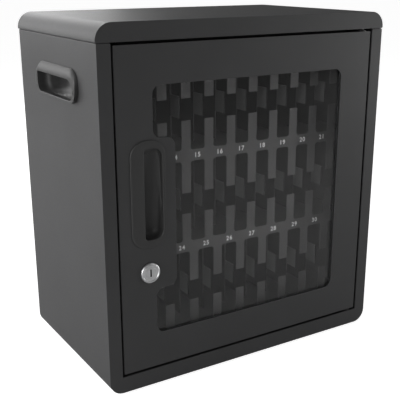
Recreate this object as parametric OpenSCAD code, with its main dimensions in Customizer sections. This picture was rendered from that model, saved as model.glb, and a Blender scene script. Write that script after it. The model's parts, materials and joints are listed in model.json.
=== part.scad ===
// Desk-top locker box for mobile phones: a sheet-steel cabinet with a glazed,
// lockable door and a rack of upright phone slots in three tiers.
// Origin: on the surface the feet stand on, midway between the sides and
// midway between the foremost and rearmost faces. The door faces -Y, +Z is up.
// Inside the modules, depth is counted from the front face of the cabinet and
// height from the underside of the cabinet body; in_place() moves both home.

/* [Slots] */
// Slots in each of the two upper tiers
slots_upper = 11; // [8:1:12]
// Distance between slot centres in the two upper tiers
pitch_upper = 31.75; // [29:0.25:36]
// Slots in the bottom tier
slots_bottom = 8; // [5:1:8]
// Distance between slot centres in the bottom tier
pitch_bottom = 34.75; // [32:0.25:40]
// Height from one tier's strip to the next
tier_pitch = 114.2; // [108:0.2:130]
// Height of a comb's strip
strip_h = 13.6; // [11:0.2:18]
// Width of a comb's finger
finger_w = 12.4; // [8:0.2:15]
// Length of the fingers that rise from a strip
finger_up = 35.5; // [20:0.5:42]
// Length of the fingers that hang from a strip
finger_down = 39; // [20:0.5:46]
// Radius of the inside corners between fingers and strip
comb_fillet = 3.5; // [1:0.5:5]

/* [Cabinet] */
// From a side's outer face to the centre of the rack's side plate
rack_margin = 25.4; // [24.6:0.1:32]
// Height of the lowest strip's centre above the cabinet's underside
first_strip_z = 44.5; // [36:0.5:60]
// Height from the top strip's centre to the top of the cover
top_margin = 44.9; // [42:0.1:60]
// Depth of the combs' front face behind the cabinet's front face
comb_depth = 25.5; // [25:0.5:34]
// Depth of the rack from the combs' front face to its rear
rack_depth = 197; // [170:1:240]
// Space between the rack and the cabinet's rear face
rear_gap = 14.5; // [6:0.5:30]
// Thickness of the sheet steel
sheet_t = 1.2; // [0.8:0.1:1.5]
// Outside radius of the bends between the base and the sides
base_bend_r = 17; // [8:0.5:19]
// Outside radius of the cover's two rounded ends
cover_end_r = 19; // [8:0.5:20]
// Height of the cover
cover_h = 20.8; // [20:0.2:24]
// How far the cover stands out past each side
cover_overhang = 1; // [0:0.1:2]
// Outside radius of the folds that meet at the seam below the cover
seam_fold_r = 1.1; // [0.4:0.1:1.2]
// Width of the front stiles beside the door
stile_w = 16.4; // [14:0.2:20]
// Height of the front rail below the door
rail_h = 20.5; // [19:0.5:30]
// Gap between the stiles' upper ends and the cover's front skirt
stile_gap = 0.8; // [0.4:0.1:1.5]
// Width of the flanges that the back panel and the cover are screwed to
flange_w = 16; // [14:0.5:20]

/* [Door] */
// Gap between the door and its opening at the sides and the bottom
door_gap = 2.8; // [2:0.1:3]
// Gap above the door
door_gap_top = 3.2; // [2:0.1:4]
// Depth of the folded door
door_depth = 16; // [14:0.5:16]
// How far the door's face lies behind the cabinet's front face
door_inset = 0.7; // [0:0.1:1.5]
// Width of the lips folded in at the door's rear
door_lip = 10; // [6:0.5:12]
// From the door's hinge edge to the pivot
pivot_side = 10; // [8:0.5:10]
// From the door's face to the pivot
pivot_back = 6; // [5.9:0.1:6.4]
// Gap between the closed door and the stop behind it
stop_gap = 1.2; // [0.8:0.1:1.6]
// Width of the stop beside the lock
stop_w = 14; // [12:0.5:18]
// Height of the stops below and above the door
stop_h = 10; // [6:0.5:12]

/* [Window] */
// From the cabinet's sides to the window opening
window_side = 64.4; // [60:0.5:80]
// From the cabinet's underside to the window opening
window_bottom = 66.5; // [60:0.5:80]
// From the top of the window opening to the top of the door
window_top = 44.4; // [40:0.1:60]
// Radius of the window's corners
window_r = 10.5; // [9:0.5:14]
// From the pull's edge to the window beside it
notch_side = 13.9; // [12.5:0.1:20]
// From the lock's centre down to the window below it
notch_below = 22.1; // [21.5:0.1:30]
// Thickness of the clear pane
pane_t = 3; // [2:0.5:4]
// How far the pane reaches behind the door's sheet
pane_lap = 8; // [6:0.5:8]
// Thickness of the seal between pane and door
seal_t = 1.5; // [1:0.1:2]
// How far the seal reaches behind the door's sheet
seal_lap = 6; // [4:0.5:6]
// Width of the strips that hold the pane
retainer_w = 17; // [16:0.5:19]

/* [Pull and lock] */
// From the cabinet's side to the centre of pull and lock
latch_side = 56.4; // [54:0.2:60]
// Height of the pull's centre
pull_z = 240.2; // [230:0.2:260]
// Length of the pull
pull_l = 127; // [110:1:140]
// Width of the pull
pull_w = 44; // [40:0.5:46]
// How far the pull stands out of the door
pull_proud = 1.6; // [1:0.1:2]
// Width of the pull's broad lip
pull_lip = 17; // [14:0.2:19]
// Width of the pull's ends
pull_end = 10; // [8:0.2:12]
// Width of the pull's thin rim
pull_rim = 3.4; // [3:0.1:5]
// Width over which the pull's lip is crowned
pull_crown = 3; // [1:0.5:8]
// Depth of the pull's hollow behind the door's face
pull_cup = 13; // [10:0.5:13.5]
// Height of the lock's centre
lock_z = 146.4; // [140:0.2:150]
// Diameter of the lock's rim
lock_rim_d = 24.7; // [22.5:0.1:26]
// How far the lock's rim stands out of the door
lock_proud = 3; // [2:0.1:4]
// Diameter of the lock's threaded barrel
lock_barrel_d = 19; // [17:0.5:20]
// Diameter of the lock's turning plug
plug_d = 13.6; // [12:0.2:15]
// Width of the keyway
keyway_w = 1.9; // [1.2:0.1:2.4]
// Length of the keyway
keyway_l = 9.4; // [7:0.2:10]
// Distance from the lock's centre to the cam's tip
cam_l = 34; // [33:0.5:37]
// Width of the cam
cam_w = 14; // [12:0.5:16]
// Thickness of the cam
cam_t = 2; // [1.5:0.1:2]

/* [Side hand-holds] */
// Length of a hand-hold
grip_l = 121; // [110:1:126]
// Height of a hand-hold
grip_w = 39.2; // [37:0.1:42]
// Width of a hand-hold's broad lip
grip_lip = 12.4; // [11:0.1:15]
// Width of a hand-hold's ends
grip_end = 6.5; // [6:0.1:9]
// Width of a hand-hold's thin rim
grip_rim = 3.2; // [3:0.1:5]
// How far a hand-hold stands out of the side
grip_proud = 5.3; // [4:0.1:6]
// Width over which a hand-hold's lip is crowned
grip_crown = 10.5; // [4:0.5:11]
// Depth of a hand-hold's hollow behind the side's outer face
grip_cup = 18.5; // [14:0.5:18.5]
// Depth of the hand-holds' centres behind the front face
grip_y = 112; // [100:1:125]
// From the seam below the cover down to the hand-holds' centres
grip_drop = 51.7; // [50:0.5:64]

/* [Feet and hinge] */
// Diameter of a foot
foot_d = 20; // [16:1:26]
// Height of a foot
foot_h = 3; // [2.6:0.1:6]
// From the cabinet's outer faces to the feet's centres
foot_inset = 50; // [44:1:60]
// Diameter of the hinge pins
hinge_pin_d = 6; // [5:0.1:6.2]
// Radial running clearance of the hinge pins and of the lock's plug
running_gap = 0.05; // [0.02:0.01:0.08]

/* [Hidden] */
$fn = 48;

// Colours, as the photograph shows them
steel = [0.20, 0.20, 0.21];
rack_steel = [0.27, 0.27, 0.28];
moulding = [0.14, 0.14, 0.15];
bright = [0.78, 0.78, 0.80];
zinc = [0.62, 0.62, 0.64];
clear = [0.55, 0.60, 0.62, 0.35];
black = [0.05, 0.05, 0.05];
nylon = [0.85, 0.84, 0.80];

// Small amount by which a cut runs past the face it opens
cut = 1;
// Length of the cut that drills a screw's or pin's hole through sheet
drill_l = 8;
// Clearance between a fixed pin or screw and its hole
fixed_gap = 0.05;
// Clearance between a moulded cup and the cut-out it fits
cup_gap = 0.4;

// Overall sizes, built up from the rack inside
row_w = slots_upper * pitch_upper;
cabinet_w = row_w + 2 * rack_margin;
cabinet_d = comb_depth + rack_depth + rear_gap;
strip_z = [for (k = [0:3]) first_strip_z + k * tier_pitch];
cabinet_h = strip_z[3] + top_margin;
body_top = cabinet_h - cover_h;
half_w = cabinet_w / 2;

// Screws: shank radius, head radius and head height
m4 = [2, 3.8, 1.8];
m3 = [1.5, 2.8, 1.4];

// Foremost and rearmost faces
front_most = door_inset - lock_proud;
rear_most = cabinet_d + m4[2];

// Door edges
door_x = half_w - stile_w - door_gap;
door_z0 = rail_h + door_gap;
door_z1 = body_top - door_gap_top;
door_rear = door_inset + door_depth;
stop_front = door_rear + stop_gap;
sheet_back = door_inset + sheet_t;

// Pivot, and how far the door's hinge corner swings round it
pivot_x = door_x - pivot_side;
pivot_y = door_inset + pivot_back;
swing_r = norm([pivot_side, door_depth - pivot_back]);
hinge_pin_r = hinge_pin_d / 2;
bush_r = hinge_pin_r + 1.4;
bush_flange_r = bush_r + 1.3;
bush_flange_t = 1.2;
bush_l = 8;
hinge_plate_t = 4;
hinge_plate_w = 28;
pin_head_h = 3;
rail_t = 2;
rail_leg_h = 15;

// Door furniture
latch_x = -half_w + latch_side;
window_x = half_w - window_side;
window_z0 = window_bottom;
window_z1 = door_z1 - window_top;
notch_x = latch_x + pull_w / 2 + notch_side;
notch_z0 = lock_z - notch_below;
notch_z1 = pull_z + pull_l / 2 + 0.6;
pane_y = sheet_back + seal_t;
retainer_y = pane_y + pane_t;
stud_r = 2;
stud_out = pane_lap + 4.5;
nut_flats = 7;
nut_h = 3.2;

// Lock
barrel_r = lock_barrel_d / 2;
plug_r = plug_d / 2;
cam_y = stop_front + sheet_t + 0.3;
barrel_end = cam_y - 0.3;
lock_nut_h = 5;
lock_nut_flats = lock_barrel_d + 3;

// Moulded cups of the pull and the hand-holds
cup_wall = 1.4;
under_lip = 7;
lip_t = 2.5;
cup_corner_far = 11;
cup_corner_near = 4;
// Widths round each opening: broad lip, ends and thin rim
pull_edges = [pull_lip, pull_end, pull_rim];
grip_edges = [grip_lip, grip_end, grip_rim];

// Rack
divider_setback = 15.1;
divider_lug = 20.6;
shelf_flange = 10;
rack_flange_w = 9;
rear_lip = 12;
rack_rear = comb_depth + rack_depth;
rack_back_of_comb = comb_depth + sheet_t;

// ---------------------------------------------------------------- helpers

// Moves a piece from depth and height to the part's own origin
module in_place() {
    translate([0, -(front_most + rear_most) / 2, foot_h]) children();
}

// Extrudes a front-view outline (x, z) from depth y0 to depth y1
module along_y(y0, y1) {
    translate([0, y1, 0]) rotate([90, 0, 0]) linear_extrude(y1 - y0) children();
}

// Box between two corners
module block(a, b) {
    translate(a) cube(b - a);
}

// Quarter of a disc in the quadrant that sx and sy (each 1 or -1) point to
module quarter(r, sx, sy) {
    scale([sx, sy]) intersection() {
        circle(r, $fn = 96);
        square(r);
    }
}

// Rectangle with one radius at its lower and another at its upper corners
module bent_rect(x0, z0, x1, z1, r_low, r_high) {
    translate([x0, z0 + r_low]) square([x1 - x0, z1 - z0 - r_low - r_high]);
    translate([x0 + r_low, z0]) square([x1 - x0 - 2 * r_low, r_low]);
    translate([x0 + r_high, z1 - r_high]) square([x1 - x0 - 2 * r_high, r_high]);
    translate([x0 + r_low, z0 + r_low]) quarter(r_low, -1, -1);
    translate([x1 - r_low, z0 + r_low]) quarter(r_low, 1, -1);
    translate([x0 + r_high, z1 - r_high]) quarter(r_high, -1, 1);
    translate([x1 - r_high, z1 - r_high]) quarter(r_high, 1, 1);
}

// Points of the arc that rounds corner b between a and c
function arc_at(a, b, c, r, n = 8) =
    let (
        p = (a - b) / norm(a - b),
        q = (c - b) / norm(c - b),
        half = acos(p * q) / 2,
        centre = b + (p + q) / norm(p + q) * r / sin(half),
        from = b + p * r / tan(half) - centre,
        to = b + q * r / tan(half) - centre,
        start = atan2(from[1], from[0]),
        turn = (atan2(to[1], to[0]) - start + 540) % 360 - 180
    )
    [for (i = [0:n]) centre + r * [cos(start + turn * i / n), sin(start + turn * i / n)]];

// Outline through corners, each rounded by its own radius
function rounded(corners, radii) =
    let (n = len(corners))
    [for (i = [0:n - 1]) each arc_at(
        corners[(i + n - 1) % n], corners[i], corners[(i + 1) % n], radii[i])];

// Window outline, grown outwards by g; the notch beside pull and lock shrinks with it
module window_outline(g) {
    out = window_r + g;
    in = window_r - g;
    polygon(rounded(
        [
            [-window_x - g, window_z0 - g], [window_x + g, window_z0 - g],
            [window_x + g, window_z1 + g], [-window_x - g, window_z1 + g],
            [-window_x - g, notch_z1 - g], [notch_x - g, notch_z1 - g],
            [notch_x - g, notch_z0 + g], [-window_x - g, notch_z0 + g]
        ],
        [out, out, out, out, out, in, in, out]
    ));
}

// Screw along +Z with its head's flat underside at the origin and its shank above
module screw(size, length) {
    cylinder(r = size[0], h = length);
    translate([0, 0, -size[2]]) cylinder(r1 = size[1] * 0.8, r2 = size[1], h = size[2]);
}

// Copies a child at each place of a list
module at_each(places) {
    for (p = places) translate(p) children();
}

// Hole for a screw, wide enough for the fixed clearance, along +Z through the origin
module screw_hole(size, length = drill_l) {
    translate([0, 0, -length / 2]) cylinder(r = size[0] + fixed_gap, h = length);
}

// ------------------------------------------------- moulded pull and hand-holds
// Local axes: x across from the broad lip to the thin rim, y along the length,
// z out of the sheet, whose outer face is z = 0.

// Rounded outline from x0 to the thin rim and between the two ends, grown by g
module cup_outline(l, w, edges, x0, g) {
    x1 = w - edges[2] + g;
    half = l / 2 - edges[1] + g;
    near = cup_corner_near + g;
    far = cup_corner_far + g;
    polygon(rounded(
        [[x0 - g, -half], [x1, -half], [x1, half], [x0 - g, half]],
        [near, far, far, near]
    ));
}

// Opening between lip, ends and rim
module cup_opening(l, w, edges) {
    cup_outline(l, w, edges, edges[0], 0);
}

// Outline of the hollow behind the sheet, which also runs under the lip, grown by g
module cup_hollow(l, w, edges, g) {
    cup_outline(l, w, edges, edges[0] - under_lip, g);
}

// One slice of the bezel: height z, drawn in by a on the lip side and b elsewhere
module bezel_slice(l, w, z, a, b) {
    r = (w - a - b) * 0.44;
    translate([0, 0, z]) linear_extrude(0.01) union() {
        for (y = [-l / 2 + b + r, l / 2 - b - r], x = [a + r, w - b - r])
            translate([x, y]) circle(r, $fn = 32);
        translate([a + r, -l / 2 + b]) square([w - a - b - 2 * r, l - 2 * b]);
        translate([a, -l / 2 + b + r]) square([w - a - b, l - 2 * b - 2 * r]);
    }
}

// Whole moulding: bezel with a crowned lip, and a cup whose floor rises to the rim
module moulded_cup(l, w, edges, proud, crown, depth) {
    x_far = w - edges[2];
    x_deep = edges[0];
    difference() {
        union() {
            hull() {
                bezel_slice(l, w, 0, 0, 0);
                bezel_slice(l, w, proud * 0.5, 0.13 * crown, 0);
                bezel_slice(l, w, proud * 0.8, 0.4 * crown, 0.15);
                bezel_slice(l, w, proud - 0.01, crown, 0.8);
            }
            translate([0, 0, -depth - cup_wall])
                linear_extrude(depth + cup_wall) cup_hollow(l, w, edges, cup_wall);
        }
        translate([0, 0, -lip_t]) linear_extrude(lip_t + proud + cut) cup_opening(l, w, edges);
        difference() {
            translate([0, 0, -depth])
                linear_extrude(depth - lip_t + 0.01) cup_hollow(l, w, edges, 0);
            translate([0, l / 2, 0]) rotate([90, 0, 0]) linear_extrude(l)
                polygon([[x_deep, -depth - cut], [x_far + cut, -depth - cut],
                    [x_far + cut, -depth * 0.45], [x_far, -depth * 0.45], [x_deep, -depth]]);
        }
    }
}

// Puts local axes on the door's face, with the lip towards the door's free edge
module at_pull() {
    translate([latch_x - pull_w / 2, door_inset, pull_z]) rotate([90, 0, 0]) children();
}

// Puts local axes on the right side of the cabinet, with the lip on top
module at_right_grip() {
    translate([half_w, grip_y, body_top - grip_drop + grip_w / 2])
        rotate([0, 90, 0]) children();
}

module right_grip() {
    at_right_grip()
        moulded_cup(grip_l, grip_w, grip_edges, grip_proud, grip_crown, grip_cup);
}

// ---------------------------------------------------------------- cabinet

// Places of the screws that hold the cover, rail, back panel, rack and feet
cover_screw_y = [60, cabinet_d / 2, cabinet_d - 40];
flange_x = half_w - flange_w / 2 - sheet_t / 2;
rail_screw_y = 13;
back_screw_z = [40, body_top / 2, body_top - 30];
back_screw_x = half_w - sheet_t - (flange_w - sheet_t) / 2;
back_base_x = half_w / 2;
back_base_z = sheet_t + (flange_w - sheet_t) / 2;
rack_foot_w = 16;
rack_screw_x = row_w / 2 - rack_foot_w / 2;
rack_screw_y = [comb_depth + 35, rack_rear - 35];
foot_x = half_w - foot_inset;
foot_y = [foot_inset, cabinet_d - foot_inset];
rail_y0 = sheet_t + 0.3;
rail_y1 = stop_front + sheet_t;
rail_half = half_w - flange_w / 2;

// Outer or inner outline of the body in front view, shrunk by s
module body_outline(s) {
    bent_rect(-half_w + s, s, half_w - s, body_top - s, base_bend_r - s, max(seam_fold_r - s, 0.01));
}

// Cut-out in the right side for a hand-hold's cup
module grip_cutout() {
    at_right_grip() translate([0, 0, -sheet_t - cut])
        linear_extrude(sheet_t + 2 * cut)
            cup_hollow(grip_l, grip_w, grip_edges, cup_wall + cup_gap);
}

module body_shell() {
    opening = half_w - stile_w;
    body_rear = cabinet_d - sheet_t;
    color(steel) in_place() difference() {
        union() {
            difference() {
                along_y(0, body_rear) body_outline(0);
                along_y(sheet_t, body_rear - sheet_t) body_outline(sheet_t);
                // door opening
                block([-opening, -cut, rail_h], [opening, sheet_t + cut, body_top + cut]);
                // stiles end short of the cover's skirt
                block([-half_w - cut, -cut, body_top - stile_gap],
                    [half_w + cut, sheet_t, body_top + cut]);
                // rear opening inside the flanges for the back panel
                block([-half_w + flange_w, body_rear - sheet_t - cut, flange_w],
                    [half_w - flange_w, body_rear + cut, body_top - flange_w]);
                // top opening between the flanges for the cover
                block([-half_w + flange_w, -cut, body_top - sheet_t - cut],
                    [half_w - flange_w, body_rear - sheet_t, body_top + cut]);
            }
            // jambs beside the door; the lock side carries the stop
            block([-opening - sheet_t, 0, rail_h - sheet_t],
                [-opening, stop_front + sheet_t, body_top - sheet_t]);
            block([opening, 0, rail_h - sheet_t],
                [opening + sheet_t, stop_front + sheet_t, body_top - sheet_t]);
            block([-opening - sheet_t, stop_front, rail_h - sheet_t],
                [-opening + stop_w, stop_front + sheet_t, body_top - sheet_t]);
            // jamb and stop below the door, ending where the hinge corner swings
            block([-opening, 0, rail_h - sheet_t], [opening, stop_front + sheet_t, rail_h]);
            block([-opening, stop_front, rail_h - sheet_t],
                [pivot_x - swing_r, stop_front + sheet_t, rail_h + stop_h]);
        }
        // hand-hold cut-outs
        grip_cutout();
        mirror([1, 0, 0]) grip_cutout();
        // screw holes
        at_each([for (x = [-flange_x, flange_x], y = cover_screw_y) [x, y, body_top]])
            screw_hole(m4);
        at_each([for (x = [-flange_x, flange_x]) [x, rail_screw_y, body_top]]) screw_hole(m4);
        at_each([for (x = [-back_screw_x, back_screw_x], z = back_screw_z) [x, body_rear, z]])
            rotate([90, 0, 0]) screw_hole(m4);
        at_each([for (x = [-back_base_x, back_base_x]) [x, body_rear, back_base_z]])
            rotate([90, 0, 0]) screw_hole(m4);
        at_each([for (x = [-rack_screw_x, rack_screw_x], y = rack_screw_y) [x, y, 0]])
            screw_hole(m4);
        at_each([for (x = [-foot_x, foot_x], y = foot_y) [x, y, 0]]) screw_hole(m4);
        translate([pivot_x, pivot_y, rail_h]) screw_hole([hinge_pin_r, 0, 0]);
    }
}

// Outer or inner outline of the cover in front view, shrunk by s
module cover_outline(s) {
    edge = half_w + cover_overhang - s;
    bent_rect(-edge, body_top + s, edge, cabinet_h - s, max(seam_fold_r - s, 0.01), cover_end_r - s);
}

module top_cover() {
    inner = half_w - flange_w;
    color(steel) in_place() difference() {
        along_y(0, cabinet_d) cover_outline(0);
        along_y(sheet_t, cabinet_d - sheet_t) cover_outline(sheet_t);
        // open underneath, and cleared in front for the rail
        block([-inner, sheet_t, body_top - cut],
            [inner, cabinet_d - sheet_t, body_top + sheet_t + cut]);
        block([-flange_x - m4[1] - 0.5, sheet_t, body_top - cut],
            [flange_x + m4[1] + 0.5, rail_y1 + 2, body_top + sheet_t + cut]);
        at_each([for (x = [-flange_x, flange_x], y = cover_screw_y) [x, y, body_top]])
            screw_hole(m4);
    }
}

module cover_screws() {
    color(zinc) in_place()
        at_each([for (x = [-flange_x, flange_x], y = cover_screw_y) [x, y, body_top - sheet_t]])
            screw(m4, 2 * sheet_t + 4);
}

// Cross rail behind the cover's skirt: ties the stiles, carries the upper hinge and a stop
module top_rail() {
    color(steel) in_place() difference() {
        union() {
            block([-rail_half, rail_y0, body_top], [rail_half, rail_y1, body_top + rail_t]);
            block([-door_x, rail_y0, body_top], [door_x, rail_y0 + sheet_t, body_top + rail_leg_h]);
            block([-half_w + stile_w + stop_w + 1, stop_front, body_top - stop_h],
                [pivot_x - swing_r, rail_y1, body_top + rail_t]);
        }
        at_each([for (x = [-flange_x, flange_x]) [x, rail_screw_y, body_top]]) screw_hole(m4);
        translate([pivot_x, pivot_y, body_top]) screw_hole([hinge_pin_r, 0, 0]);
    }
}

module rail_screws() {
    color(zinc) in_place()
        at_each([for (x = [-flange_x, flange_x]) [x, rail_screw_y, body_top + rail_t]])
            mirror([0, 0, 1]) screw(m4, rail_t + sheet_t + 4);
}

module back_panel() {
    body_rear = cabinet_d - sheet_t;
    edge = half_w - 1;
    color(steel) in_place() difference() {
        along_y(body_rear, cabinet_d)
            bent_rect(-edge, 1, edge, body_top - 0.5, base_bend_r - 1, 1);
        at_each([for (x = [-back_screw_x, back_screw_x], z = back_screw_z) [x, body_rear, z]])
            rotate([90, 0, 0]) screw_hole(m4);
        at_each([for (x = [-back_base_x, back_base_x]) [x, body_rear, back_base_z]])
            rotate([90, 0, 0]) screw_hole(m4);
    }
}

module back_panel_screws() {
    places = concat(
        [for (x = [-back_screw_x, back_screw_x], z = back_screw_z) [x, cabinet_d, z]],
        [for (x = [-back_base_x, back_base_x]) [x, cabinet_d, back_base_z]]
    );
    color(zinc) in_place() at_each(places) rotate([90, 0, 0]) screw(m4, 2 * sheet_t + 4);
}

module side_handle_right() {
    color(moulding) in_place() right_grip();
}

module side_handle_left() {
    color(moulding) in_place() mirror([1, 0, 0]) right_grip();
}

module foot() {
    seat = foot_h - 1.2;
    difference() {
        translate([0, 0, -foot_h]) cylinder(d1 = foot_d - 2, d2 = foot_d, h = foot_h);
        translate([0, 0, -foot_h - cut]) cylinder(r = m4[1] + 0.4, h = seat - 0.2 + cut);
        screw_hole(m4, 3 * foot_h);
    }
}

module foot_at(x, y) {
    color(black) in_place() translate([x, y, 0]) foot();
}

module foot_front_left() { foot_at(-foot_x, foot_y[0]); }
module foot_front_right() { foot_at(foot_x, foot_y[0]); }
module foot_rear_left() { foot_at(-foot_x, foot_y[1]); }
module foot_rear_right() { foot_at(foot_x, foot_y[1]); }

module foot_screws() {
    low = [m4[0], m4[1], 1.2];
    color(zinc) in_place()
        at_each([for (x = [-foot_x, foot_x], y = foot_y) [x, y, -1.4]]) screw(low, 9);
}

// ---------------------------------------------------------------- rack

// Side plate of the rack on the right; its foot turns in, its front flange turns out
module rack_side() {
    x0 = row_w / 2 - sheet_t / 2;
    x1 = x0 + sheet_t;
    top = strip_z[3] + strip_h / 2;
    difference() {
        union() {
            block([x0, rack_back_of_comb, sheet_t], [x1, rack_rear, top]);
            block([row_w / 2 - rack_foot_w, rack_back_of_comb, sheet_t],
                [x1, rack_rear, 2 * sheet_t]);
            block([x0, rack_back_of_comb, strip_z[0] - strip_h / 2],
                [x0 + rack_flange_w, rack_back_of_comb + sheet_t, top]);
        }
        at_each([for (y = rack_screw_y) [rack_screw_x, y, sheet_t]]) screw_hole(m4);
        at_each([for (y = shelf_screw_y, z = strip_z) [x0, y, z + shelf_screw_dz]])
            rotate([0, 90, 0]) screw_hole(m3);
        at_each([for (z = strip_z) [comb_screw_x, rack_back_of_comb, z]])
            rotate([90, 0, 0]) screw_hole(m3);
    }
}

// Places of the screws that hold shelves and combs
shelf_screw_y = [comb_depth + 40, rack_rear - 40];
shelf_screw_dz = strip_h / 2 - 6;
comb_screw_x = row_w / 2 + 3.4;

module rack_side_right() {
    color(rack_steel) in_place() rack_side();
}

module rack_side_left() {
    color(rack_steel) in_place() mirror([1, 0, 0]) rack_side();
}

// Shelf whose upper face is level with the top of strip k
module shelf(k) {
    top = strip_z[k] + strip_h / 2;
    x1 = row_w / 2 - sheet_t / 2;
    color(rack_steel) in_place() difference() {
        union() {
            block([-x1, rack_back_of_comb, top - sheet_t], [x1, rack_rear, top]);
            block([-x1, rack_back_of_comb, top - shelf_flange],
                [x1, rack_back_of_comb + sheet_t, top]);
            for (s = [0, 1]) mirror([s, 0, 0])
                block([x1 - sheet_t, rack_back_of_comb, top - shelf_flange], [x1, rack_rear, top]);
            if (k < 3) block([-x1, rack_rear - sheet_t, top - sheet_t], [x1, rack_rear, top + rear_lip]);
        }
        at_each([for (x = [-x1, x1], y = shelf_screw_y) [x, y, strip_z[k] + shelf_screw_dz]])
            rotate([0, 90, 0]) screw_hole(m3);
    }
}

module shelf_bottom() { shelf(0); }
module shelf_lower() { shelf(1); }
module shelf_upper() { shelf(2); }
module shelf_top() { shelf(3); }

// Centre-lines of the fingers and dividers of a row
function row_lines(n, pitch) = [for (i = [0:n]) (i - n / 2) * pitch];
upper_lines = row_lines(slots_upper, pitch_upper);
bottom_lines = row_lines(slots_bottom, pitch_bottom);

// Fingers of one row on one side of a strip centred on z = 0; side is 1 up, -1 down
module fingers(lines, length, side) {
    root = strip_h / 2;
    for (x = lines) scale([1, side]) {
        translate([x - finger_w / 2, 0]) square([finger_w, root + length]);
        for (s = [-1, 1])
            if (abs(x + s * pitch_upper / 2) < row_w / 2)
                translate([x + s * finger_w / 2, root]) scale([s, 1]) difference() {
                    translate([-0.01, -0.01]) square(comb_fillet + 0.01);
                    translate([comb_fillet, comb_fillet]) circle(comb_fillet, $fn = 32);
                }
    }
}

// Comb in front of shelf k: a strip with fingers rising from it and hanging from it
module comb(k, up, down) {
    half = row_w / 2 + finger_w / 2;
    color(rack_steel) in_place() difference() {
        along_y(comb_depth, rack_back_of_comb) translate([0, strip_z[k]]) {
            translate([-half, -strip_h / 2]) square([2 * half, strip_h]);
            fingers(up, finger_up, 1);
            fingers(down, finger_down, -1);
        }
        at_each([for (x = [-comb_screw_x, comb_screw_x]) [x, comb_depth, strip_z[k]]])
            rotate([90, 0, 0]) screw_hole(m3);
    }
}

module comb_bottom() { comb(0, bottom_lines, []); }
module comb_lower() { comb(1, upper_lines, bottom_lines); }
module comb_upper() { comb(2, upper_lines, upper_lines); }
module comb_top() { comb(3, [], upper_lines); }

// Upright dividers that stand on shelf k, one behind each line; each has a lug that reaches
// forward between the ends of the rising and the hanging fingers
module dividers(k, lines) {
    lug_front = comb_depth + divider_setback;
    plate_front = lug_front + divider_lug;
    rear = rack_rear - sheet_t - 1;
    z0 = strip_z[k] + strip_h / 2;
    z1 = strip_z[k + 1] + strip_h / 2 - sheet_t;
    color(rack_steel) in_place()
        for (x = lines) translate([x - sheet_t / 2, 0, 0]) {
            block([0, plate_front, z0], [sheet_t, rear, z1]);
            block([0, lug_front, z0 + finger_up],
                [sheet_t, plate_front + 1, strip_z[k + 1] - strip_h / 2 - finger_down]);
        }
}

// Lines between the outermost two, where the rack's side plates stand
function inner_lines(lines) = [for (i = [1:len(lines) - 2]) lines[i]];

module dividers_bottom_tier() { dividers(0, bottom_lines); }
module dividers_middle_tier() { dividers(1, inner_lines(upper_lines)); }
module dividers_top_tier() { dividers(2, inner_lines(upper_lines)); }

module rack_screws() {
    color(zinc) in_place()
        at_each([for (x = [-rack_screw_x, rack_screw_x], y = rack_screw_y) [x, y, 0]])
            screw(m4, 2 * sheet_t + 4);
}

module shelf_screws() {
    x1 = row_w / 2 + sheet_t / 2;
    color(zinc) in_place()
        for (s = [0, 1]) mirror([s, 0, 0])
            at_each([for (y = shelf_screw_y, z = strip_z) [x1, y, z + shelf_screw_dz]])
                rotate([0, -90, 0]) screw(m3, 2 * sheet_t + 3);
}

module comb_screws() {
    color(zinc) in_place()
        at_each([for (x = [-comb_screw_x, comb_screw_x], z = strip_z) [x, comb_depth, z]])
            rotate([-90, 0, 0]) screw(m3, 2 * sheet_t + 3);
}

// ---------------------------------------------------------------- hinge

// Height of the pin's free end inside each bush
pin_reach = bush_l - 0.5;

module hinge_plate() {
    difference() {
        block([-hinge_plate_w / 2, rail_y0, 0],
            [pivot_side + door_gap - 0.2, rail_y1 - 1, hinge_plate_t]);
        translate([0, pivot_y, 0]) screw_hole([hinge_pin_r, 0, 0], 4 * hinge_plate_t);
    }
}

module lower_hinge_plate() {
    color(zinc) in_place()
        translate([pivot_x, 0, rail_h - sheet_t - hinge_plate_t]) hinge_plate();
}

module upper_hinge_plate() {
    color(zinc) in_place() translate([pivot_x, 0, body_top + rail_t]) difference() {
        hinge_plate();
        block([-hinge_plate_w, 0, -cut], [hinge_plate_w, rail_y0 + sheet_t + 0.1, hinge_plate_t + cut]);
    }
}

// Pin from its head's underside at z = 0 up through length
module hinge_pin(length) {
    cylinder(r = hinge_pin_r, h = length);
    translate([0, 0, -pin_head_h]) cylinder(r = hinge_pin_r + 0.8, h = pin_head_h);
}

module lower_hinge_pin() {
    seat = rail_h - sheet_t - hinge_plate_t;
    color(bright) in_place()
        translate([pivot_x, pivot_y, seat]) hinge_pin(door_z0 + pin_reach - seat);
}

module upper_hinge_pin() {
    seat = body_top + rail_t + hinge_plate_t;
    color(bright) in_place() translate([pivot_x, pivot_y, seat])
        mirror([0, 0, 1]) hinge_pin(seat - door_z1 + pin_reach);
}

module hinge_washer() {
    color(nylon) in_place() translate([pivot_x, pivot_y, rail_h]) difference() {
        cylinder(r = bush_flange_r, h = door_gap - bush_flange_t - 0.2);
        screw_hole([hinge_pin_r, 0, 0]);
    }
}

// Flanged bush: flange below z = 0, barrel above
module hinge_bush() {
    difference() {
        union() {
            cylinder(r = bush_r, h = bush_l);
            translate([0, 0, -bush_flange_t]) cylinder(r = bush_flange_r, h = bush_flange_t);
        }
        translate([0, 0, -bush_flange_t - cut])
            cylinder(r = hinge_pin_r + running_gap, h = bush_l + bush_flange_t + 2 * cut);
    }
}

module lower_hinge_bush() {
    color(nylon) in_place() translate([pivot_x, pivot_y, door_z0]) hinge_bush();
}

module upper_hinge_bush() {
    color(nylon) in_place() translate([pivot_x, pivot_y, door_z1]) mirror([0, 0, 1]) hinge_bush();
}

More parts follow.
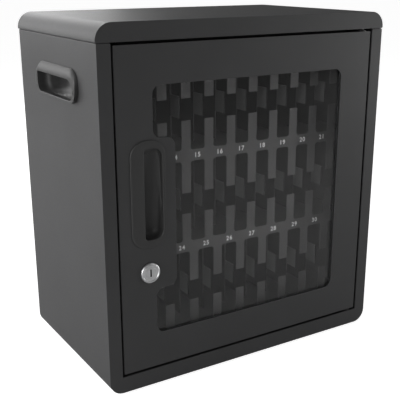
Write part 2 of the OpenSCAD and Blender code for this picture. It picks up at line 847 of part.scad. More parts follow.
// Soft button on the stop that the closing door meets
module door_bumper(z) {
    color(black) in_place() translate([-half_w + stile_w + stop_w / 2, stop_front, z])
        rotate([90, 0, 0]) cylinder(d1 = 8, d2 = 7, h = stop_gap - 0.2);
}

module door_bumper_lower() { door_bumper(door_z0 + 30); }
module door_bumper_upper() { door_bumper(door_z1 - 30); }

// ---------------------------------------------------------------- door

// Places of the studs that hold the pane's retaining strips
stud_side_z = [window_z0 + 40, (window_z0 + window_z1) / 2, window_z1 - 40];
stud_row_x = [for (i = [-1, 0, 1]) i * (window_x - 30)];
stud_left_z = [(notch_z1 + window_z1) / 2, (notch_z0 + window_z0) / 2];
stud_places = concat(
    [for (x = stud_row_x, z = [window_z0 - stud_out, window_z1 + stud_out]) [x, sheet_back, z]],
    [for (z = stud_side_z) [window_x + stud_out, sheet_back, z]],
    [for (z = stud_left_z) [-window_x - stud_out, sheet_back, z]]
);

// Folded door: a tray open to the rear, with lips, studs and its cut-outs
module door_panel() {
    color(steel) in_place() difference() {
        union() {
            difference() {
                block([-door_x, door_inset, door_z0], [door_x, door_rear, door_z1]);
                block([-door_x + sheet_t, sheet_back, door_z0 + sheet_t],
                    [door_x - sheet_t, door_rear - sheet_t, door_z1 - sheet_t]);
                block([-door_x + door_lip, sheet_back, door_z0 + door_lip],
                    [door_x - door_lip, door_rear + cut, door_z1 - door_lip]);
            }
            at_each(stud_places) rotate([-90, 0, 0]) translate([0, 0, -sheet_t / 2])
                cylinder(r = stud_r, h = seal_t + pane_t + sheet_t + nut_h + 1.5);
        }
        along_y(door_inset - cut, sheet_back + cut) window_outline(0);
        at_pull() translate([0, 0, -sheet_t - cut])
            linear_extrude(sheet_t + 2 * cut)
                cup_hollow(pull_l, pull_w, pull_edges, cup_wall + cup_gap);
        translate([latch_x, sheet_back, lock_z]) rotate([90, 0, 0])
            screw_hole([barrel_r, 0, 0], 4 * sheet_t);
        for (z = [door_z0, door_z1]) translate([pivot_x, pivot_y, z])
            screw_hole([bush_r, 0, 0], 4 * sheet_t);
    }
}

module door_window() {
    color(clear) in_place() along_y(pane_y, pane_y + pane_t) window_outline(pane_lap);
}

module window_seal() {
    color(black) in_place() along_y(sheet_back, pane_y) difference() {
        window_outline(seal_lap);
        window_outline(0);
    }
}

// Strip behind the pane's edge, between two corners in front view
module retainer(a, b) {
    color(zinc) in_place() difference() {
        along_y(retainer_y, retainer_y + sheet_t) translate(a) square(b - a);
        at_each(stud_places) rotate([90, 0, 0]) screw_hole([stud_r, 0, 0], 40);
    }
}

module retainer_top() {
    retainer([-window_x, window_z1 + 1], [window_x, window_z1 + 1 + retainer_w]);
}

module retainer_bottom() {
    retainer([-window_x, window_z0 - 1 - retainer_w], [window_x, window_z0 - 1]);
}

module retainer_right() {
    retainer([window_x + 1, window_z0 + 4], [window_x + 1 + retainer_w, window_z1 - 4]);
}

module retainer_left_upper() {
    retainer([-window_x - 1 - retainer_w, notch_z1 + 4], [-window_x - 1, window_z1 - 4]);
}

module retainer_left_lower() {
    retainer([-window_x - 1 - retainer_w, window_z0 + 4], [-window_x - 1, notch_z0 - 4]);
}

module retainer_nuts() {
    color(zinc) in_place() at_each(stud_places)
        translate([0, retainer_y + sheet_t - sheet_back, 0]) rotate([-90, 0, 0]) difference() {
            cylinder(d = nut_flats / cos(30), h = nut_h, $fn = 6);
            translate([0, 0, -cut]) cylinder(r = stud_r + fixed_gap, h = nut_h + 2 * cut);
        }
}

module door_pull() {
    color(moulding) in_place() at_pull()
        moulded_cup(pull_l, pull_w, pull_edges, pull_proud, pull_crown, pull_cup);
}

// ---------------------------------------------------------------- lock
// Local axis: z out of the door along the lock's axis, door face at z = 0

module at_lock() {
    translate([latch_x, door_inset, lock_z]) rotate([90, 0, 0]) children();
}

// Depth behind the door's face at which the barrel and the cam lie
barrel_l = barrel_end - door_inset;
cam_back = cam_y - door_inset + cam_t;

module lock_housing() {
    rim_edge = 0.8;
    color(bright) in_place() at_lock() difference() {
        union() {
            cylinder(d = lock_rim_d, h = lock_proud - rim_edge);
            translate([0, 0, lock_proud - rim_edge])
                cylinder(d1 = lock_rim_d, d2 = lock_rim_d - 2 * rim_edge, h = rim_edge);
            translate([0, 0, -barrel_l]) cylinder(r = barrel_r, h = barrel_l + 0.01);
        }
        translate([0, 0, -barrel_l - cut])
            cylinder(r = plug_r + running_gap, h = barrel_l + lock_proud + 2 * cut);
    }
}

module lock_nut() {
    color(zinc) in_place() at_lock() translate([0, 0, -sheet_t - lock_nut_h]) difference() {
        cylinder(d = lock_nut_flats / cos(30), h = lock_nut_h, $fn = 6);
        translate([0, 0, -cut]) cylinder(r = barrel_r + fixed_gap, h = lock_nut_h + 2 * cut);
    }
}

// Turning plug with its keyway, upright at rest, and a square for the cam
module lock_plug() {
    face = lock_proud - 0.4;
    square_w = 7;
    color(bright) in_place() at_lock() difference() {
        union() {
            translate([0, 0, -barrel_l]) cylinder(r = plug_r, h = barrel_l + face);
            translate([-square_w / 2, -square_w / 2, -cam_back]) cube([square_w, square_w, cam_back]);
        }
        translate([-keyway_w / 2, -keyway_l / 2, face - 8]) cube([keyway_w, keyway_l, 8 + cut]);
        translate([0, 0, -cam_back - cut]) cylinder(r = m3[0] + fixed_gap, h = 8);
    }
}

// Cam, hanging down at rest; it turns up behind the stop to lock the door
module lock_cam() {
    square_w = 7 + 2 * fixed_gap;
    tip_r = 3;
    color(zinc) in_place() at_lock() translate([0, 0, -cam_back]) difference() {
        union() {
            cylinder(d = cam_w, h = cam_t);
            translate([-cam_w / 2, -cam_l + tip_r, 0]) cube([cam_w, cam_l - tip_r, cam_t]);
            translate([-cam_w / 2 + tip_r, -cam_l, 0]) cube([cam_w - 2 * tip_r, tip_r + 0.01, cam_t]);
            for (x = [-1, 1]) translate([x * (cam_w / 2 - tip_r), -cam_l + tip_r, 0])
                cylinder(r = tip_r, h = cam_t);
        }
        translate([-square_w / 2, -square_w / 2, -cut]) cube([square_w, square_w, cam_t + 2 * cut]);
    }
}

module cam_screw() {
    cam_head = [m3[0], 5, 1.6];
    color(zinc) in_place() at_lock() translate([0, 0, -cam_back]) screw(cam_head, 6);
}

body_shell();
top_cover();
top_rail();
back_panel();
back_panel_screws();
cover_screws();
rail_screws();
side_handle_left();
side_handle_right();
foot_front_left();
foot_front_right();
foot_rear_left();
foot_rear_right();
foot_screws();
rack_side_left();
rack_side_right();
shelf_bottom();
shelf_lower();
shelf_upper();
shelf_top();
comb_bottom();
comb_lower();
comb_upper();
comb_top();
dividers_bottom_tier();
dividers_middle_tier();
dividers_top_tier();
rack_screws();
shelf_screws();
comb_screws();
lower_hinge_plate();
upper_hinge_plate();
lower_hinge_pin();
upper_hinge_pin();
hinge_washer();
door_bumper_lower();
door_bumper_upper();
door_panel();
door_window();
window_seal();
retainer_top();
retainer_bottom();
retainer_right();
retainer_left_upper();
retainer_left_lower();
retainer_nuts();
door_pull();
lower_hinge_bush();
upper_hinge_bush();
lock_housing();
lock_nut();
lock_plug();
lock_cam();
cam_screw();
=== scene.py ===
"""Looks of the desk-top locker box for phones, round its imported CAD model.

Metres, in the model's own frame: +Z up, the door faces -Y, the feet stand on z = 0. Sizes are read
from the model's nodes where they have them; the others are named below in millimetres times MM.
"""
import json
import math

import bmesh
import bpy
import numpy as np
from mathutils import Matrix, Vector

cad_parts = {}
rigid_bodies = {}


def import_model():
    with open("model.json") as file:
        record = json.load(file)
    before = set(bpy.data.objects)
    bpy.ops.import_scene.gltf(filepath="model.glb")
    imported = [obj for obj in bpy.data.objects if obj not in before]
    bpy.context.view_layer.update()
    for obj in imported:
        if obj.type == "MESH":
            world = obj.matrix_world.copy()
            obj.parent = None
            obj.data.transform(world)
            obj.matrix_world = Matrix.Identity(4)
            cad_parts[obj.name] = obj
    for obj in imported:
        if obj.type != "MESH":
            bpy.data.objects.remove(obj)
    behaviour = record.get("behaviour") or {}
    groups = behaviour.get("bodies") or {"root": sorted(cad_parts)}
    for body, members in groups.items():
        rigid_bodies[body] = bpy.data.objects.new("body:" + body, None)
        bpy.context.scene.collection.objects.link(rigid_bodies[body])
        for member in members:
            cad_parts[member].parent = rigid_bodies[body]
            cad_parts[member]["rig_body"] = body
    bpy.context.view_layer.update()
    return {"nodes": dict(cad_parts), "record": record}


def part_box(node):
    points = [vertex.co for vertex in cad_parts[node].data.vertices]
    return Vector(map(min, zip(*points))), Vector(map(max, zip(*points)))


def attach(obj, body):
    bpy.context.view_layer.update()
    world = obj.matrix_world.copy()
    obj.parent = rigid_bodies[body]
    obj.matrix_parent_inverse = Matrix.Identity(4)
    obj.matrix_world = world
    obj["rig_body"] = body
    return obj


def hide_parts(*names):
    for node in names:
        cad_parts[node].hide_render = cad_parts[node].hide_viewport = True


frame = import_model()
NODES = frame["nodes"]
MM = 0.001

# ------------------------------------------------------------------ shader nodes

# Most values of a noise lie between these two
NOISE_MIDDLE = (0.3, 0.7)


class Tree:
    """A tree of shader nodes, and short calls that add to it."""

    def __init__(self, tree):
        self.nodes = tree.nodes
        self.links = tree.links

    def node(self, kind, inputs=None, **settings):
        """Adds a node, sets its properties, and feeds its inputs with numbers or sockets."""
        made = self.nodes.new(kind)
        for key, value in settings.items():
            setattr(made, key, value)
        for key, value in (inputs or {}).items():
            self.feed(made.inputs[key], value)
        return made

    def feed(self, socket, value):
        """Links a socket to another, or sets its number or colour."""
        if isinstance(value, bpy.types.NodeSocket):
            self.links.new(value, socket)
        else:
            socket.default_value = value

    def number(self, operation, *values):
        """A number worked out from one or two others."""
        inputs = dict(enumerate(values))
        return self.node("ShaderNodeMath", inputs, operation=operation).outputs[0]

    def vector(self, operation, inputs):
        """A vector worked out from other vectors and numbers."""
        return self.node("ShaderNodeVectorMath", inputs, operation=operation).outputs["Vector"]

    def ramp(self, value, start, end, low, high, **settings):
        """Maps start to end onto low to high, and holds both ends beyond them."""
        return self.node("ShaderNodeMapRange", {
            "Value": value, "From Min": start, "From Max": end, "To Min": low, "To Max": high,
        }, **settings).outputs[0]


class Finish(Tree):
    """A material with one Principled shader, and calls that vary its colour, gloss and relief."""

    def __init__(self, name, **sockets):
        self.material = bpy.data.materials.new(name)
        self.material.use_nodes = True
        super().__init__(self.material.node_tree)
        self.shader = self.nodes["Principled BSDF"]
        for socket, value in sockets.items():
            self.shader.inputs[socket.replace("_", " ")].default_value = value
        self.place = self.node("ShaderNodeTexCoord").outputs["Object"]

    def along(self, axis):
        """The place's coordinate along the axis "X" or "Y"."""
        return self.node("ShaderNodeSeparateXYZ", {0: self.place}).outputs[axis]

    def noise(self, size, detail, stretch=(1, 1, 1)):
        """Noise with cells about size across, drawn out along an axis by a stretch below 1."""
        place = self.place
        if stretch != (1, 1, 1):
            place = self.node("ShaderNodeMapping", {"Vector": place, "Scale": stretch}).outputs[0]
        return self.node("ShaderNodeTexNoise", {
            "Vector": place, "Scale": 1 / size, "Detail": detail}).outputs["Fac"]

    def spread(self, value, low, high):
        """Maps a noise's middle range onto low to high."""
        return self.ramp(value, *NOISE_MIDDLE, low, high)

    def mix(self, share, first, second):
        """Makes the colour a mix of two, from the first at share 0 to the second at 1."""
        mixed = self.node("ShaderNodeMix", {
            "Factor": share, "A": (*first, 1.0), "B": (*second, 1.0)}, data_type="RGBA")
        self.feed(self.shader.inputs["Base Color"], mixed.outputs["Result"])

    def tint(self, value, colour, dark, light):
        """Makes the colour vary with a noise, from dark to light times the colour given. Each of
        the three is one number, or three for red, green and blue."""
        first, second = (np.broadcast_to(np.multiply(colour, share), 3).tolist()
                         for share in (dark, light))
        self.mix(self.spread(value, 0.0, 1.0), first, second)

    def dim(self, share):
        """Multiplies the colour that is there by a share."""
        socket = self.shader.inputs["Base Color"]
        self.feed(socket, self.vector("SCALE", {0: socket.links[0].from_socket, "Scale": share}))

    def gloss(self, value, roughness, less, more):
        """Makes the roughness vary with a noise, from less below to more above what is given."""
        self.feed(self.shader.inputs["Roughness"],
                  self.spread(value, roughness - less, roughness + more))

    def relief(self, height, depth, strength, under=None):
        """Bumps the surface by a height from 0 to 1 that stands for depth metres."""
        inputs = {"Height": height, "Distance": depth, "Strength": strength}
        if under is not None:
            inputs["Normal"] = under
        normal = self.node("ShaderNodeBump", inputs).outputs[0]
        self.feed(self.shader.inputs["Normal"], normal)
        return normal


# ------------------------------------------------------------------ finishes

# Greys of coats, mouldings and rubber
STEEL_GREY = 0.050
RACK_GREY = 0.062
# The dividers' lugs take a painted light grey, and the plates behind them a painted shade grey
LUG_LIT_GREY = 0.14
PLATE_SHADE_GREY = 0.012
MOULDING_GREY = 0.045
NYLON_GREY = 0.015
RUBBER_GREY = 0.010
# The darkest and the lightest clouds in the powder coat, as shares of its red, green and blue
COAT_DARK, COAT_LIGHT = (0.95, 0.95, 0.97), (1.05, 1.05, 1.08)
COAT_ROUGHNESS = 0.45
MOULDING_ROUGHNESS = 0.44
DEEP_ROUGHNESS = 0.85
# Shares of their colour that the painted shade keeps inside the cabinet, in the cups' deep ends
# and in the keyway
PAINTED_SHADE_SHARE = 0.25
CUP_SHADE_SHARE = 0.03
KEYWAY_SHADE_SHARE = 0.02
# Within this width one tone of a finish passes into the next
TONE_STEP = 0.3 * MM
# Colours of plating
NICKEL = (0.88, 0.88, 0.89)
PLUG_NICKEL = (0.84, 0.84, 0.85)
ZINC = (0.60, 0.61, 0.63)
BLACK_PLATE = (0.05, 0.05, 0.05)
# Stretch of the scratches in plating that is drawn upwards, or from front to back, or neither
DRAWN_UP, DRAWN_BACK, NOT_DRAWN = (1, 1, 0.3), (1, 0.25, 1), (1, 1, 1)
# The pane's refraction, its own tint, and the tint of the lamps' light behind it
PANE_REFRACTION = 1.49
PANE_TINT = (0.97, 0.97, 0.97, 1.0)
PANE_SHADE = (0.94, 0.94, 0.94, 1.0)


def powder_coat(name, grey, roughness, inside=None):
    """Fine-textured powder coat: a soft orange peel, a fine grain, and faint shifts of tone.
    Where inside gives two corners (low, high), painted shade darkens the coat within that box,
    for the shade inside the cabinet: its tone is multiplied by 1 - (1 - k) w, k being the share
    that the painted shade keeps, where w is the product over the axes of
    (half size - |place - middle|) / TONE_STEP, each held between 0 and 1."""
    finish = Finish(name, Metallic=0.0, Roughness=roughness)
    cloud = finish.noise(60 * MM, detail=2.0)
    grain = finish.noise(0.9 * MM, detail=2.0)
    peel = finish.noise(3.5 * MM, detail=1.0)
    finish.tint(cloud, grey, COAT_DARK, COAT_LIGHT)
    finish.gloss(grain, roughness, less=0.05, more=0.05)
    under = finish.relief(peel, depth=0.05 * MM, strength=0.35)
    finish.relief(grain, depth=0.02 * MM, strength=0.5, under=under)
    # Painted shade: within the box the coat's tone is darkened, for the shade inside the cabinet
    if inside is not None:
        low, high = inside
        offset = finish.vector("SUBTRACT", {0: finish.place, 1: (low + high) / 2})
        size = finish.vector("ABSOLUTE", {0: offset})
        parts = finish.node("ShaderNodeSeparateXYZ", {0: size}).outputs
        within = 1.0
        for part, half in zip(parts, (high - low) / 2):
            step = finish.ramp(part, half - TONE_STEP, half, 1.0, 0.0)
            within = finish.number("MULTIPLY", step, within)
        finish.dim(finish.ramp(within, 0.0, 1.0, 1.0, PAINTED_SHADE_SHARE))
    return finish.material


def smooth_coat(name, grey, roughness):
    """Thin, even powder coat on the rack's sheet."""
    finish = Finish(name, Roughness=roughness)
    cloud = finish.noise(40 * MM, detail=2.0)
    finish.tint(cloud, grey, 0.97, 1.03)
    finish.gloss(cloud, roughness, less=0.03, more=0.03)
    return finish.material


def moulded_plastic(name, grey, roughness, deep=None):
    """Moulded plastic with a faint spark-eroded grain. Where deep gives two distances (from, to)
    from the plane x = 0, it grows rougher from the first to the second, and painted shade
    darkens its colour there, for the shade in a cup's deep end."""
    finish = Finish(name, Roughness=roughness)
    grain = finish.noise(0.6 * MM, detail=2.0)
    cloud = finish.noise(30 * MM, detail=1.0)
    finish.tint(cloud, grey, 0.96, 1.04)
    finish.relief(grain, depth=0.015 * MM, strength=0.5)
    if deep is None:
        finish.gloss(grain, roughness, less=0.04, more=0.04)
    else:
        # Painted shade: darker towards the cup's deep end
        away = finish.number("ABSOLUTE", finish.along("X"))
        left = finish.ramp(away, deep[1], deep[0], CUP_SHADE_SHARE, 1.0,
                           interpolation_type="SMOOTHSTEP")
        finish.dim(left)
        finish.feed(finish.shader.inputs["Roughness"],
                    finish.ramp(left, 0.0, 1.0, DEEP_ROUGHNESS, roughness))
    return finish.material


def plating(name, colour, roughness, grain_size, stretch, painted_shade_behind=None):
    """Bright, zinc or black plating over turned or rolled metal, with fine scratches. Where a
    plane of y is given last, painted shade makes all behind it nearly black, as in a keyway."""
    finish = Finish(name, Metallic=1.0, Roughness=roughness)
    lines = finish.noise(grain_size, detail=4.0, stretch=stretch)
    finish.tint(lines, colour, 0.92, 1.0)
    # Painted shade: nearly black behind the plane, for the shade in the keyway
    if painted_shade_behind is not None:
        finish.dim(finish.ramp(finish.along("Y"), painted_shade_behind, painted_shade_behind + TONE_STEP,
                               1.0, KEYWAY_SHADE_SHARE))
    finish.gloss(lines, roughness, less=0.06, more=0.08)
    finish.relief(lines, depth=0.01 * MM, strength=0.4)
    return finish.material


def rubber(name, grey):
    """Black rubber, matt and slightly mottled."""
    finish = Finish(name, Roughness=0.8)
    mottle = finish.noise(2 * MM, detail=3.0)
    finish.tint(mottle, grey, 0.8, 1.3)
    finish.relief(mottle, depth=0.03 * MM, strength=0.4)
    return finish.material


def lit_and_shaded_coat(name, lit_grey, shade_grey, lugs, roughness):
    """Coat of the dividers with painted light and shade: their lugs, with y between the two values
    of lugs, are a light grey, lighter than the combs, for the light that reaches them, and the
    lugs' cut front edges and the plates behind are nearly black, a painted shade for the shade
    deep in the rack that also hides the highlights on the lugs' front edges."""
    finish = Finish(name, Roughness=roughness, Specular_IOR_Level=0.2)
    middle, half = sum(lugs) / 2, (lugs[1] - lugs[0]) / 2
    away = finish.number("ABSOLUTE", finish.number("SUBTRACT", finish.along("Y"), middle))
    # Painted light and shade: lugs light grey, the plates behind and the lugs' front edges
    # near-black
    beyond = finish.ramp(away, half - TONE_STEP, half + TONE_STEP, 0.0, 1.0)
    finish.mix(beyond, (lit_grey,) * 3, (shade_grey,) * 3)
    finish.dim(finish.spread(finish.noise(20 * MM, detail=2.0), 0.95, 1.05))
    return finish.material


def clear_sheet(name, refraction):
    """Clear acrylic: a transmitting sheet that lets the lamps' light through to what is behind
    it."""
    finish = Finish(name, Roughness=0.0, IOR=refraction, Transmission_Weight=1.0,
                    Base_Color=PANE_TINT)
    let_through = finish.node("ShaderNodeBsdfTransparent", {"Color": PANE_SHADE})
    path = finish.node("ShaderNodeLightPath")
    mixed = finish.node("ShaderNodeMixShader", {
        0: path.outputs["Is Shadow Ray"], 1: finish.shader.outputs[0], 2: let_through.outputs[0]})
    finish.feed(finish.nodes["Material Output"].inputs["Surface"], mixed.outputs[0])
    return finish.material


def printing_ink(name):
    """White screen-printing ink, slightly uneven."""
    finish = Finish(name, Roughness=0.55)
    cloud = finish.noise(0.8 * MM, detail=2.0)
    finish.tint(cloud, 1.0, 0.88, 0.98)
    return finish.material


FINISHES = {
    "powder_coat": powder_coat("cabinet_powder_coat", STEEL_GREY, COAT_ROUGHNESS),
    "rack_coat": smooth_coat("rack_powder_coat", RACK_GREY, roughness=0.50),
    "moulding": moulded_plastic("handle_moulding", MOULDING_GREY, MOULDING_ROUGHNESS),
    "clear_pane": clear_sheet("acrylic_pane", PANE_REFRACTION),
    "rubber": rubber("black_rubber", RUBBER_GREY),
    "plated_steel": plating("nickel_plating", NICKEL, roughness=0.34, grain_size=0.5 * MM,
                            stretch=DRAWN_UP),
    "zinc": plating("zinc_plating", ZINC, roughness=0.38, grain_size=0.8 * MM,
                    stretch=DRAWN_BACK),
    "nylon": moulded_plastic("black_nylon", NYLON_GREY, roughness=0.40),
}
HINGE_PLATING = plating("black_hinge_plating", BLACK_PLATE, roughness=0.45,
                        grain_size=0.8 * MM, stretch=NOT_DRAWN)
INK = printing_ink("number_ink")

# Where the dividers' lugs begin and end behind the combs' front faces
LUG_START, LUG_END = 15.6 * MM, 35.7 * MM
COMB_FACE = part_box("comb_top")[0].y
DIVIDER_COAT_LIT_AND_SHADED = lit_and_shaded_coat("divider_coat_painted_light_and_shade", LUG_LIT_GREY, PLATE_SHADE_GREY, roughness=0.55,
                             lugs=(COMB_FACE + LUG_START, COMB_FACE + LUG_END))

# The painted shade in the keyway begins this far behind the plug's face
KEYWAY_START = 0.5 * MM
PLUG_PLATING = plating("plug_plating", PLUG_NICKEL, roughness=0.40, grain_size=0.5 * MM,
                       stretch=DRAWN_UP, painted_shade_behind=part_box("lock_plug")[0].y + KEYWAY_START)

# Depths in the hand-holds' cups at which the painted shade begins and is darkest
CUP_DARKENS, CUP_DARKEST = 7.0 * MM, 11.5 * MM
SIDE_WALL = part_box("body_shell")[1].x
HAND_HOLD_PLASTIC_SHADED = moulded_plastic("hand_hold_moulding_painted_shade", MOULDING_GREY, MOULDING_ROUGHNESS,
                                    deep=(SIDE_WALL - CUP_DARKENS, SIDE_WALL - CUP_DARKEST))

# The box of painted shade, for the shade inside the cabinet, is the body's less a skin, a
# little thicker than the sheet, and reaches up into the cover
SKIN = Vector((1.3, 1.3, 1.3)) * MM
INTO_COVER = Vector((0, 0, 40 * MM))
SHELL_LOW, SHELL_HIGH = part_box("body_shell")
CABINET_COAT_SHADED_INSIDE = powder_coat("cabinet_coat_and_painted_shade", STEEL_GREY, COAT_ROUGHNESS,
                           inside=(SHELL_LOW + SKIN, SHELL_HIGH - SKIN + INTO_COVER))

# ------------------------------------------------------------------ making pieces

# Edges that bend more than the first stay crisp; those that bend less than the second are joined
SHARP_EDGE = math.radians(28)
FLAT_EDGE = math.radians(0.4)
# Points closer than the first are one point; faces thinner than the second are dropped
SAME_POINT = 0.002 * MM
NO_WIDTH = 0.001 * MM


def in_scene(name, data):
    """A new object of the scene, at the origin."""
    obj = bpy.data.objects.new(name, data)
    bpy.context.scene.collection.objects.link(obj)
    return obj


def piece(name, mesh, finish, body, stands_for=()):
    """A piece of one finish, riding on a body, that stands for the nodes named and hides them.
    It is shaded smooth, but crisp at its sharp edges."""
    mesh.shade_smooth()
    mesh.set_sharp_from_angle(angle=SHARP_EDGE)
    mesh.materials.append(finish)
    obj = in_scene(name, mesh)
    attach(obj, body)
    if stands_for:
        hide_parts(*stands_for)
    return obj


def new_piece(name, parts, finish, body, stands_for=()):
    """A piece from closed surfaces, each given as (points, faces), merged at equal points and with
    all faces turned outwards."""
    starts = np.cumsum([0] + [len(points) for points, faces in parts])
    points = np.concatenate([points for points, faces in parts])
    faces = [[i + start for i in face]
             for start, (_, part_faces) in zip(starts, parts) for face in part_faces]
    mesh = bpy.data.meshes.new(name)
    mesh.from_pydata(points.tolist(), [], faces)
    work = bmesh.new()
    work.from_mesh(mesh)
    bmesh.ops.remove_doubles(work, verts=work.verts, dist=SAME_POINT)
    bmesh.ops.dissolve_degenerate(work, edges=work.edges, dist=NO_WIDTH)
    bmesh.ops.recalc_face_normals(work, faces=work.faces)
    work.to_mesh(mesh)
    work.free()
    piece(name, mesh, finish, body, stands_for)


def softened(node, slot, radius, share=None, segments=2, shift=None, finish=None):
    """Copy of a CAD piece with rounded edges. Its triangles are merged and flat ones joined; each
    edge sharper than SHARP_EDGE is bevelled by radius, times share(middle points) where given.
    shift(points) gives how far each point moves first."""
    mesh = NODES[node].data.copy()
    if shift is not None:
        points = np.empty((len(mesh.vertices), 3), np.float32)
        mesh.vertices.foreach_get("co", points.ravel())
        points += shift(points)
        mesh.vertices.foreach_set("co", points.ravel())
    work = bmesh.new()
    work.from_mesh(mesh)
    bpy.data.meshes.remove(mesh)
    bmesh.ops.remove_doubles(work, verts=work.verts, dist=SAME_POINT)
    bmesh.ops.dissolve_limit(work, angle_limit=FLAT_EDGE, verts=work.verts, edges=work.edges)
    work.edges.ensure_lookup_table()
    middles = np.array([(e.verts[0].co + e.verts[1].co) / 2 for e in work.edges])
    bends = np.array([e.calc_face_angle(0.0) if e.is_manifold else 0.0 for e in work.edges])
    weights = (bends > SHARP_EDGE) * (1.0 if share is None else share(middles))
    mesh = bpy.data.meshes.new(node + "_finished")
    work.to_mesh(mesh)
    work.free()
    layer = mesh.attributes.new("bevel_weight_edge", "FLOAT", "EDGE")
    layer.data.foreach_set("value", weights.astype(np.float32))
    obj = piece(node + "_finished", mesh, finish or FINISHES[slot], NODES[node]["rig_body"],
                (node,))
    bevel = obj.modifiers.new("rounded_edges", "BEVEL")
    bevel.limit_method = "WEIGHT"
    bevel.width = radius
    bevel.segments = segments
    bevel.harden_normals = True


def closed_loft(rings, ends=True):
    """Closed surface through rings of equally many points, an array (rings, points, 3): a quad
    joins each pair of neighbours on each pair of rings. The end rings are filled, or, without
    ends, the last ring joins the first."""
    count, around, _ = rings.shape
    ring, point = np.meshgrid(np.arange(count - 1 if ends else count), np.arange(around),
                              indexing="ij")
    beside, after = (point + 1) % around, (ring + 1) % count
    corners = (ring * around + point, ring * around + beside,
               after * around + beside, after * around + point)
    faces = np.stack(corners, axis=-1).reshape(-1, 4).tolist()
    if ends:
        faces.append(list(range(around)))
        faces.append(list(range((count - 1) * around, count * around)))
    return rings.reshape(-1, 3), faces


def moved(surface, turn, place):
    """Turns a surface by a 3 by 3 matrix and moves it to a place."""
    points, faces = surface
    return np.asarray(points) @ np.asarray(turn, float).T + np.asarray(place, float), faces


# Turns that bring local +Z to the front (-Y), to the rear, and down
TO_FRONT = ((1, 0, 0), (0, 0, -1), (0, 1, 0))
TO_REAR = ((-1, 0, 0), (0, 0, 1), (0, 1, 0))
UPSIDE_DOWN = ((1, 0, 0), (0, -1, 0), (0, 0, -1))

# ------------------------------------------------------------------ recessed handles

# Radii of the opening's corners at the broad lip and at the thin rim
OPENING_NEAR = 4 * MM
OPENING_FAR = 11 * MM
# How far the cup reaches in under the lip, and how thick the lip and the cup's wall are
UNDER_LIP = 7 * MM
LIP_THICK = 2.5 * MM
CUP_WALL = 1.4 * MM
# How far behind the sheet's face the bezel's flat back lies
BEZEL_BACK = 0.05 * MM
# Radius of the opening's rounded edge, and how far its wall's foot stands back under the lip
EDGE_ROUND = 0.9 * MM
WALL_LEAN = 0.3 * EDGE_ROUND
# Share of the bezel's width that is its corners' radius, and the depth and power of the rounding
# of its sides beyond the lip
BEZEL_ROUND = 0.44
BEZEL_EDGE = 0.8 * MM
BEZEL_POWER = 6
# Shadow gap at the bezel's foot: how far it stands back, and how high
FOOT_GAP = 0.6 * MM
GAP_HEIGHT = 0.7 * FOOT_GAP
# The trough's last ring, as a share of its radius, the most of the opening's width that it
# reaches in, and the least radius of its corners
LAST_SHARE = 1.25
MOST_INSET = 0.47
LEAST_CORNER = 0.8 * MM
# Points on a corner's arc and between two corners, and rings over a quarter round and the crown
CORNER_POINTS, SIDE_POINTS = 10, 14
ROUND_RINGS, CROWN_RINGS = 9, 12


def rounded_rings(x0, x1, half, near, far, wide=None):
    """Outlines of rectangles from x0 to x1 and -half to half, one ring for each row of the inputs.
    The corners at x0 are arcs of radius near, those at x1 of radius far, and the one at x0 and
    +half of radius wide where given; SIDE_POINTS divide each straight run evenly. The result has
    the shape (rings, points, 2)."""
    wide = near if wide is None else wide
    x0, x1, half, near, far, wide = np.broadcast_arrays(
        *np.atleast_1d(x0, x1, half, near, far, wide))
    swing = np.linspace(0, np.pi / 2, CORNER_POINTS)
    corners = (
        (x1 - far, far - half, far, -np.pi / 2),
        (x1 - far, half - far, far, 0.0),
        (x0 + wide, half - wide, wide, np.pi / 2),
        (x0 + near, near - half, near, np.pi),
    )
    arcs = [np.stack((cx[:, None] + r[:, None] * np.cos(start + swing),
                      cy[:, None] + r[:, None] * np.sin(start + swing)), axis=-1)
            for cx, cy, r, start in corners]
    along = np.linspace(0, 1, SIDE_POINTS + 2)[1:-1, None]
    runs = []
    for here, after in zip(arcs, arcs[1:] + arcs[:1]):
        runs += [here, here[:, -1:] * (1 - along) + after[:, :1] * along]
    return np.concatenate(runs, axis=1)


